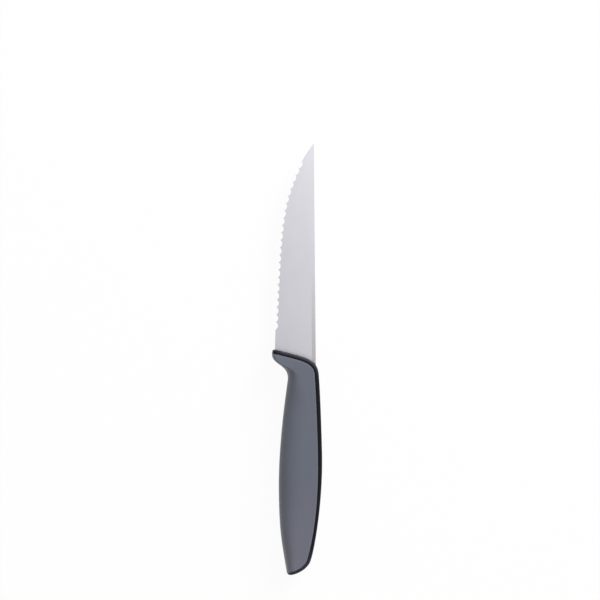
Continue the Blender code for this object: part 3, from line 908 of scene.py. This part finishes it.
def core_outline(form, core, lap, skin, rounding):
    """The flat of the core under the grip, from which its sides round out.

    The sides end inside the band along the rim, and under the grip's skin along the belly.
    """
    rim = smooth_path(form.rim_knots, CORE_STEP)
    belly = smooth_path(form.belly_knots, CORE_STEP)[::-1]
    outline = np.vstack([rim, belly[1:-1]])
    inset = np.concatenate([
        np.full(len(rim), form.handle.band_width - lap),
        np.full(len(belly) - 2, skin),
    ]) + rounding
    looped = np.vstack([outline[-1], outline, outline[0]])
    moved = outline + right_normals(looped)[1:-1] * inset[:, None]
    reach = np.linalg.norm(moved[:, None] - outline[None], axis=2) - inset[None]
    kept = moved[reach.min(axis=1) > -TINY]
    way = np.roll(kept, -1, axis=0) - kept
    way /= np.linalg.norm(way, axis=1)[:, None]
    before = np.roll(way, 1, axis=0)
    turns = np.arcsin(np.clip(before[:, 1] * way[:, 0] - before[:, 0] * way[:, 1], -1, 1))
    radii = np.where(turns > SHARP_TURN, core.corner, 0)
    return rounded([(x, y, radius) for (x, y), radius in zip(kept, radii)])


def core_body(form, core, clearance):
    """The core under the grip with its flange, or the room that they need in the grip."""
    half = form.handle.thickness / 2 - core.grip_skin + clearance
    outline = core_outline(form, core, core.lap, core.belly_skin, core.rounding)
    body = plate('core_body', [outline], half, core.rounding + clearance)
    outline = core_outline(form, core, core.flange_lap, core.flange_skin, 0)
    combine(body, 'UNION', plate('flange', [outline], core.flange / 2 + clearance, clearance))
    return body


def lock_pins(blade, handle, core, diameter):
    """The holes behind the tang where the grip's two flanks join through the core."""
    first = handle.length - blade.tang_short + core.lock_first
    places = np.arange(first, handle.length - core.lock_clear, core.lock_pitch)
    outlines = [circle(-core.lock_reach, -back, diameter) for back in places]
    return plate('lock_pins', outlines, handle.thickness)


def across_shares():
    """Shares across the handle from the belly, set close where its flanks roll over."""
    arc = ARC_SHARE * (1 - np.cos(quarter(ARC_CELLS)))
    return np.concatenate([arc, np.linspace(ARC_SHARE, 1, FLAT_CELLS + 1)[1:]])


def make_band(blade, handle, core, form, finish):
    """The core with the hard band round its rim."""
    ease = handle.band_ease
    rim_arc = RIM_SHARE * (1 - np.cos(quarter(RIM_CELLS)))
    parts = [*rim_arc, (1 + RIM_SHARE) / 2, 1]
    insets = [part * (form.band - ease) for part in parts]
    from_seam = [OFF_SEAM] * (len(insets) - 1) + [ease]
    for turn in quarter(EASE_CELLS)[1:]:
        insets.append(form.band - ease + ease * math.sin(turn))
        from_seam.append(ease * (1 - math.sin(turn)))
    grid = np.array([form.stations(inset, across_shares(), even(LENGTH_CELLS)) for inset in insets])
    sheets = Sheets(form)
    upper, lower = sheets.add(grid, np.array(from_seam)[:, None], on_belly=[0, -1])
    # Each point's share towards the rim, which places the painted highlight on the band's rim.
    to_rim = 1 - np.array(parts + [1] * EASE_CELLS)
    sheets.values[RIM_HIGHLIGHT_ATTRIBUTE] = [np.repeat(to_rim, grid.shape[1])] * 2
    sheets.wall(upper[0], lower[0])
    sheets.wall(upper[-1], lower[-1])
    band = sheets.build('core_band', ease, finish)
    combine(band, 'UNION', core_body(form, core, 0))
    for room in (
            lock_pins(blade, handle, core, core.lock),
            tang_plate(blade, handle, form, handle.tang_gap),
            blade_room(blade, handle, form)):
        combine(band, 'DIFFERENCE', room)
    return band


def make_grip(blade, handle, core, form, finish):
    """The soft grip: two flanks that roll over the belly, with the core's room inside."""
    ease = handle.grip_ease
    seam = form.band + handle.seam_gap
    across = across_shares()
    lengthwise = even(LENGTH_CELLS)
    (front, spine, end), belly_start, belly_end = form.inner_line(seam + ease)
    belly_line = along(form.belly, belly_start + (belly_end - belly_start) * lengthwise)
    sides = spread(front, across), spread(end[::-1], across)
    patch = coons(belly_line, spread(spine, lengthwise), *sides, lengthwise, across)
    sheets = Sheets(form)
    sheets.add(patch, OFF_SEAM, on_belly=[0])
    from_seam = [ease * (1 - math.sin(turn)) for turn in quarter(EASE_CELLS)]
    ring = [form.stations(seam + step, across, lengthwise) for step in from_seam]
    upper, lower = sheets.add(np.array(ring), np.array(from_seam)[:, None], on_belly=[0, -1])
    sheets.wall(upper[-1], lower[-1])
    grip = sheets.build('soft_grip', ease, finish)
    room = core_body(form, core, core.gap)
    combine(room, 'DIFFERENCE', lock_pins(blade, handle, core, core.lock - 2 * core.gap))
    combine(grip, 'DIFFERENCE', room)
    return grip


def edge_line(blade, handle):
    """The cutting edge before it is scalloped, from the point to the heel inside the guard."""
    heel = handle.guard_top_up - blade.seat - HEEL_STOCK
    return smooth_path([
        (0, blade.point_reach, -129.3, 0, 0.44),
        (-blade.bend_reach, blade.point_reach - blade.bend_back, -97.6, 0.10, 0.075),
        (-blade.width, handle.guard_top_up, -92.2, 0.885, 0.1),
        (-blade.width, heel, -90, 0.1, 0),
    ])


def blade_section(blade, reach):
    """The blade's section across, from the edge over the face to the spine and back.

    Each point is its distance in from the edge, its height, how far it follows a scallop and the
    side of the blade that it is on.
    """
    slope = face_slope(blade)
    tangent = math.tan(blade.bevel_angle)
    bevel_end = (blade.edge_thickness - blade.burr_drop) / (tangent - slope)
    follow = (tangent + slope) / (tangent - slope)
    ease = min(blade.spine_round, reach / EASE_PARTS)
    rows = [min(place, reach * part) for place, part in FACE_ROWS]
    rows.append(min(blade.width - blade.spine_flat, reach * GRIND_LIMIT))
    faded = FACE_ROWS[FADE_ROW][0]
    burr = min(blade.burr_width, reach / BURR_PARTS)
    face = [(0, blade.edge_thickness / 2 - blade.burr_drop, 1, 1), (burr, blade_half(blade, burr), 1, 1)]
    back = [(min(bevel_end, reach * BEVEL_LIMIT), None, follow, -1)]
    for row in rows:
        left = faded - row
        face.append((row, blade_half(blade, row), max(0, left / (faded - blade.burr_width)), 1))
        back.append((row, None, follow * max(0, left / (faded - bevel_end)), -1))
    top = blade_half(blade, reach)
    for turn in quarter(SPINE_FACETS):
        place = (reach - ease * (1 - math.sin(turn)), top - ease * (1 - math.cos(turn)))
        face.append((*place, 0, 1))
        back.append((*place, 0, -1))
    back = [(n, blade_half(blade, n) if z is None else z, weight, side) for n, z, weight, side in back]
    return np.array(face + [(n, -z, weight, side) for n, z, weight, side in back[::-1]])


def make_blade(blade, handle, form, finish):
    """The ground and scalloped blade with its tang."""
    edge = edge_line(blade, handle)
    lengths = run(edge)
    inward = -right_normals(edge)
    length = lengths[-1] - blade.seat - HEEL_STOCK
    teeth = int((length - blade.tip_plain - blade.heel_plain) / blade.tooth_pitch + 0.5)
    radius = (blade.tooth_pitch ** 2 / 4 + blade.tooth_depth ** 2) / (2 * blade.tooth_depth)
    half_turn = math.asin(blade.tooth_pitch / 2 / radius)
    places = list(blade.tip_plain * even(TIP_CELLS) ** TIP_CROWDING)[:-1]
    for tooth in range(teeth):
        middle = blade.tip_plain + (tooth + 0.5) * blade.tooth_pitch
        turns = half_turn * np.linspace(-1, 1, TOOTH_FACETS + 1)[:-1]
        places += list(middle + radius * np.sin(turns))
    heel_start = np.interp(-handle.guard_top_up - HEEL_LEAD, -edge[:, 1], lengths)
    places += list(np.linspace(blade.tip_plain + teeth * blade.tooth_pitch, heel_start, HEEL_POINTS))

    slope = face_slope(blade)
    points = []
    runs = []
    grinds = []
    for place in places:
        spot = along(edge, place)
        aim = np.array([np.interp(place, lengths, inward[:, i]) for i in (0, 1)])
        aim /= np.linalg.norm(aim)
        section = blade_section(blade, max(-spot[0] / aim[0], 0))
        if place == 0:
            section[:, 1] = section[0, 1]
        flat = spot + aim * section[:, :1]
        points.append(np.column_stack([flat, section[:, 1]]))
        grinds.append(np.column_stack([aim * section[:, 2:3], slope * section[:, 2] * section[:, 3]]))
        runs.append(np.full(len(section), place - blade.tip_plain))
    section = blade_section(blade, blade.width)
    x = section[:, 0] - blade.width
    seated = np.column_stack([x, seat_y(blade, form, x), section[:, 1]])
    last = points[-1]
    for step in even(HEEL_CELLS)[1:]:
        points.append(last + (seated - last) * step)
        grinds.append(np.zeros_like(seated))
        runs.append(runs[-1])
    index = numbered(len(points), len(section))
    faces = ring_cells(index) + index[-1:].tolist()
    inputs = {
        'tooth_pitch': blade.tooth_pitch, 'tooth_depth': blade.tooth_depth,
        'teeth': teeth, 'finish': finish,
    }
    values = {'edge_run': np.concatenate(runs), 'grind': np.concatenate(grinds)}
    piece = run_tree('ground_blade', np.concatenate(points), faces, values, scallop_tree(), inputs)
    combine(piece, 'UNION', tang_plate(blade, handle, form, 0))
    return piece


def settle(piece, place, node):
    """Moves a finished piece to the frame's place, puts it on the root body and hides the part it stands
    for.
    """
    piece.data.transform(Matrix.Translation(place))
    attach(piece, "root")
    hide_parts(node)


def shade(piece, angle):
    """Smooth shading between edges sharper than an angle."""
    piece.data.shade_smooth()
    piece.data.set_sharp_from_angle(angle=angle)


def shade_spine(piece, blade):
    """Keeps the spine's rounding smooth, and the line where the ground face ends sharp."""
    for edge in piece.data.edges:
        ends = [piece.data.vertices[i].co.x for i in edge.vertices]
        if min(ends) > -SPINE_REACH * blade.spine_round:
            edge.use_edge_sharp = False
        elif max(abs(x + blade.spine_flat) for x in ends) < TINY / 10:
            edge.use_edge_sharp = True


def origin(handle):
    """Where the frame has the place that the outlines are drawn from."""
    _, blade_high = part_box("blade")
    core_low, core_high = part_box("handle_core")
    return Vector((blade_high.x, core_low.y + handle.length, (core_low.z + core_high.z) / 2))


def plan(context):
    """The sizes and finishes, the handle's form and the place in the frame to make a piece from."""
    scene = context.scene
    blade, handle = scene.knife_blade, scene.knife_handle
    form = HandleForm(blade, handle)
    return blade, handle, scene.knife_core, scene.knife_finishes, form, origin(handle)


def new_finish(name):
    """A new material, its tree, and X and Y on the object."""
    made = bpy.data.materials.new(name)
    made.use_nodes = True
    tree = made.node_tree
    spot = tree.nodes.new('ShaderNodeTexCoord').outputs['Object']
    parts = add_node(tree, 'ShaderNodeSeparateXYZ', {0: spot}).outputs
    return made, tree, Number(tree, parts['X']), Number(tree, parts['Y'])


def dress(tree, inputs):
    """Sets the inputs of a material's shader, or links them."""
    shader = tree.nodes['Principled BSDF']
    for key, value in inputs.items():
        plug(tree, value, shader.inputs[key])


def grain(tree, scale, detail):
    """Noise on the object's own coordinates, with a scale for each axis in cells per metre."""
    place = tree.nodes.new('ShaderNodeTexCoord').outputs['Object']
    stretch = add_node(tree, 'ShaderNodeMapping', {'Vector': place, 'Scale': scale})
    inputs = {'Vector': stretch.outputs['Vector'], 'Scale': 1, 'Detail': detail}
    return Number(tree, add_node(tree, 'ShaderNodeTexNoise', inputs).outputs[0])


def uneven(noise, value, change):
    """A number that noise makes smaller and larger by a share of it."""
    return span(noise, *NOISE_SPAN, value * (1 - change), value * (1 + change))


def blended(factor, first, last):
    """A mix of two colours, each a plain one or another mix."""
    inputs = {0: factor}
    for i, color in zip(MIX_COLORS, (first, last)):
        inputs[i] = color if isinstance(color, bpy.types.NodeSocket) else (*color, 1)
    return add_node(factor.tree, 'ShaderNodeMix', inputs, data_type='RGBA').outputs[MIX_RESULT]


def varied(noise, color, change):
    """A colour that noise makes darker and lighter by a share of it."""
    dark, light = [[part * (1 + way) for part in color] for way in (-change, change)]
    return blended(span(noise, *NOISE_SPAN), dark, light)


def fade(y, place, ends):
    """How far Y has come from one distance ahead of the shoulder to another, from 0 to 1."""
    start, end = ends
    return span(y, place.y + start, place.y + end)


def relief(noise, depth, strength):
    """Shallow relief from noise."""
    inputs = {'Strength': strength, 'Distance': depth, 'Height': noise}
    return add_node(noise.tree, 'ShaderNodeBump', inputs).outputs['Normal']


def satin_steel(blade, place, finishes):
    """Steel with fine grinding lines across the blade, and painted shade by its edge, spine strip and
    heel.
    """
    made, tree, x, y = new_finish('satin_steel')
    lines = grain(tree, *STEEL_LINES)
    cloud = grain(tree, *STEEL_CLOUD)
    tone_varies, rough_varies = STEEL_VARIES
    # Painted shade: the steel is blended from a darker colour by the edge to its colour by the spine.
    shaded_by_edge = varied(cloud, finishes.steel_edge_shade, tone_varies)
    by_spine = varied(cloud, finishes.steel, tone_varies)
    tone = blended(span(x, place.x - blade.width, place.x), shaded_by_edge, by_spine)
    # Painted shade on the spine's strip, strongest near the handle and fading out towards the point.
    crease = place.x - blade.spine_flat
    on_shaded_strip = span(x, crease - STRIP_BLUR, crease) * fade(y, place, STRIP_SHADE_FADE)
    tone = blended(on_shaded_strip, tone, finishes.steel_strip_shade)
    # Painted shade: the steel's colour darkens steadily from the point towards the handle.
    tone = scaled(tone, fade(y, place, (-STEEL_SHADE_FALL, blade.point_reach)))
    dress(tree, {
        'Base Color': tone, 'Metallic': 1, 'Specular IOR Level': STEEL_GLOSS,
        'Roughness': uneven(lines, finishes.steel_roughness, rough_varies),
        'Normal': relief(lines, *STEEL_RELIEF),
    })
    return made


def soft_rubber(place, finishes):
    """Matt moulded rubber with a fine spark-eroded texture.

    Painted light makes it paler and warmer towards the butt.
    """
    made, tree, _, y = new_finish('soft_rubber')
    cloud = grain(tree, *GRIP_CLOUD)
    tone_varies, rough_varies = GRIP_VARIES
    grip = varied(cloud, finishes.grip, tone_varies)
    # Painted light: the grip turns paler and warmer towards the butt.
    lit_by_butt = varied(cloud, finishes.grip_butt_light, tone_varies)
    dress(tree, {
        'Base Color': blended(fade(y, place, GRIP_LIGHT_FADE), grip, lit_by_butt), 'Metallic': 0,
        'Specular IOR Level': finishes.grip_gloss, 'Sheen Weight': finishes.grip_sheen,
        'Sheen Roughness': GRIP_DUST,
        'Roughness': uneven(cloud, finishes.grip_roughness, rough_varies),
        'Normal': relief(grain(tree, *GRIP_GRAIN), *GRIP_RELIEF),
    })
    return made


def hard_plastic(blade, place, finishes):
    """Hard moulded plastic with a slight gloss.

    A painted highlight makes it lighter on the guard's front rim and at the butt.
    """
    made, tree, x, y = new_finish('hard_plastic')
    speckle = grain(tree, *BAND_GRAIN)
    cloud = grain(tree, *BAND_CLOUD)
    tone_varies, rough_varies = BAND_VARIES
    side = varied(cloud, finishes.band, tone_varies)
    # Painted highlight: the band is lighter on the guard's front rim, kept off the nose's corner, and
    # over the butt.
    painted_highlight = varied(cloud, finishes.band_highlight, tone_varies)
    to_rim = add_node(tree, 'ShaderNodeAttribute', attribute_name=RIM_HIGHLIGHT_ATTRIBUTE)
    edge = place.x - blade.width
    lit = span(Number(tree, to_rim.outputs['Fac']), *RIM_HIGHLIGHT_SPAN) * span(x, edge, edge + BAND_HIGHLIGHT_CORNER)
    highlight_mask = (lit * fade(y, place, BAND_FRONT_HIGHLIGHT)).at_least(fade(y, place, BAND_BUTT_HIGHLIGHT))
    dress(tree, {
        'Base Color': blended(highlight_mask, side, painted_highlight), 'Metallic': 0,
        'Specular IOR Level': finishes.band_gloss,
        'Roughness': uneven(speckle, finishes.band_roughness, rough_varies),
        'Normal': relief(speckle, *BAND_RELIEF),
    })
    return made


def seen_directly(tree):
    """1 for camera, glossy and transmission rays, which see the bare background, and else 0."""
    path = tree.nodes.new('ShaderNodeLightPath').outputs
    seen = calc(tree, 'MAXIMUM', path['Is Camera Ray'], path['Is Glossy Ray'])
    return seen.at_least(path['Is Transmission Ray'])


def floor_finish(stage):
    """A white floor that shows the knife's shadow faintly."""
    made = bpy.data.materials.new('white_floor')
    made.use_nodes = True
    tree = made.node_tree
    tree.nodes.clear()
    plain = add_node(tree, 'ShaderNodeBsdfDiffuse', {'Color': (*stage.floor, 1)}).outputs[0]
    glow = add_node(tree, 'ShaderNodeEmission', {'Color': WHITE}).outputs[0]
    inputs = {0: seen_directly(tree) * FLOOR_GLOW, 1: plain, 2: glow}
    mixed = add_node(tree, 'ShaderNodeMixShader', inputs).outputs[0]
    add_node(tree, 'ShaderNodeOutputMaterial', {'Surface': mixed})
    return made


def room_light(stage):
    """An even white room, which lights less than it shows."""
    world = bpy.data.worlds.new('white_room')
    bpy.context.scene.world = world
    world.use_nodes = True
    tree = world.node_tree
    background = tree.nodes['Background'].inputs
    plug(tree, WHITE, background['Color'])
    plug(tree, span(seen_directly(tree), 0, 1, stage.sky, 1), background['Strength'])


def lamp(name, watts, width, place, aim, mirrored=True):
    """A square soft lamp turned towards a place, which glossy surfaces may mirror."""
    light = bpy.data.lights.new(name, 'AREA')
    light.energy = watts
    light.size = width
    source = link(name, light)
    source.visible_glossy = mirrored
    source.location = place
    source.rotation_mode = 'QUATERNION'
    source.rotation_quaternion = (Vector(aim) - Vector(place)).to_track_quat('-Z', 'Y')


def make_camera(stage, middle_z):
    """A camera that looks straight down, as far off as the framed width needs."""
    data = bpy.data.cameras.new('camera')
    data.lens = data.sensor_width * (stage.camera_height - middle_z) / stage.framed
    data.clip_start = NEAR_CLIP
    camera = link('camera', data)
    camera.location = (*stage.centre, stage.camera_height)
    camera.rotation_euler = (0, 0, stage.roll)
    bpy.context.scene.camera = camera


class KNIFE_OT_blade(Operator):
    """Make the ground blade with its scallops and tang"""
    bl_idname = "knife.blade"
    bl_label = "Blade"

    def execute(self, context):
        blade, handle, _, finishes, form, place = plan(context)
        piece = make_blade(blade, handle, form, satin_steel(blade, place, finishes))
        shade(piece, BLADE_CREASE)
        shade_spine(piece, blade)
        settle(piece, place, "blade")
        return {'FINISHED'}


class KNIFE_OT_band(Operator):
    """Make the hard core with the band that shows round the grip"""
    bl_idname = "knife.band"
    bl_label = "Core and band"

    def execute(self, context):
        blade, handle, core, finishes, form, place = plan(context)
        piece = make_band(blade, handle, core, form, hard_plastic(blade, place, finishes))
        shade(piece, HANDLE_CREASE)
        settle(piece, place, "handle_core")
        return {'FINISHED'}


class KNIFE_OT_grip(Operator):
    """Make the soft grip that is moulded over the core"""
    bl_idname = "knife.grip"
    bl_label = "Grip"

    def execute(self, context):
        blade, handle, core, finishes, form, place = plan(context)
        piece = make_grip(blade, handle, core, form, soft_rubber(place, finishes))
        shade(piece, HANDLE_CREASE)
        settle(piece, place, "handle_grip")
        return {'FINISHED'}


class KNIFE_OT_stage(Operator):
    """Make the floor, the light and the camera"""
    bl_idname = "knife.stage"
    bl_label = "Stage"

    def execute(self, context):
        stage = context.scene.knife_stage
        mesh = bpy.data.meshes.new('floor')
        half = FLOOR_WIDTH / 2
        corners = [(-half, -half, 0), (half, -half, 0), (half, half, 0), (-half, half, 0)]
        mesh.from_pydata(corners, [], [(0, 1, 2, 3)])
        mesh.materials.append(floor_finish(stage))
        link('floor', mesh)
        room_light(stage)
        middle = (*stage.centre, 0)
        lamp('key', stage.key, KEY_WIDTH, KEY_PLACE, middle)
        lamp('fill', stage.fill, FILL_WIDTH, FILL_PLACE, middle, mirrored=False)
        make_camera(stage, context.scene.knife_handle.thickness / 2)
        context.scene.view_settings.view_transform = 'Standard'
        return {'FINISHED'}


class KNIFE_PT_panel(Panel):
    """Sizes, finishes and buttons for the knife"""
    bl_idname = "KNIFE_PT_panel"
    bl_label = "Steak Knife"
    bl_space_type = 'VIEW_3D'
    bl_region_type = 'UI'
    bl_category = "Knife"

    def draw(self, context):
        for name, group, operators in SECTIONS:
            box = self.layout.box()
            box.label(text=name)
            settings = getattr(context.scene, group)
            for key in settings.__annotations__:
                box.prop(settings, key)
            for operator in operators:
                box.operator(operator.bl_idname)


SECTIONS = (
    ("Blade", "knife_blade", (KNIFE_OT_blade,)),
    ("Handle", "knife_handle", (KNIFE_OT_band, KNIFE_OT_grip)),
    ("Core", "knife_core", ()),
    ("Finishes", "knife_finishes", ()),
    ("Stage", "knife_stage", (KNIFE_OT_stage,)),
)
GROUPS = {
    "knife_blade": BladeSizes,
    "knife_handle": HandleSizes,
    "knife_core": CoreSizes,
    "knife_finishes": Finishes,
    "knife_stage": StageSettings,
}
CLASSES = (
    *GROUPS.values(),
    KNIFE_OT_blade,
    KNIFE_OT_band,
    KNIFE_OT_grip,
    KNIFE_OT_stage,
    KNIFE_PT_panel,
)


def register():
    for cls in CLASSES:
        bpy.utils.register_class(cls)
    for key, group in GROUPS.items():
        setattr(bpy.types.Scene, key, PointerProperty(type=group))


def unregister():
    for key in GROUPS:
        delattr(bpy.types.Scene, key)
    for cls in reversed(CLASSES):
        bpy.utils.unregister_class(cls)


def main():
    register()
    bpy.ops.knife.blade()
    bpy.ops.knife.band()
    bpy.ops.knife.grip()
    bpy.ops.knife.stage()


if __name__ == "__main__":
    main()
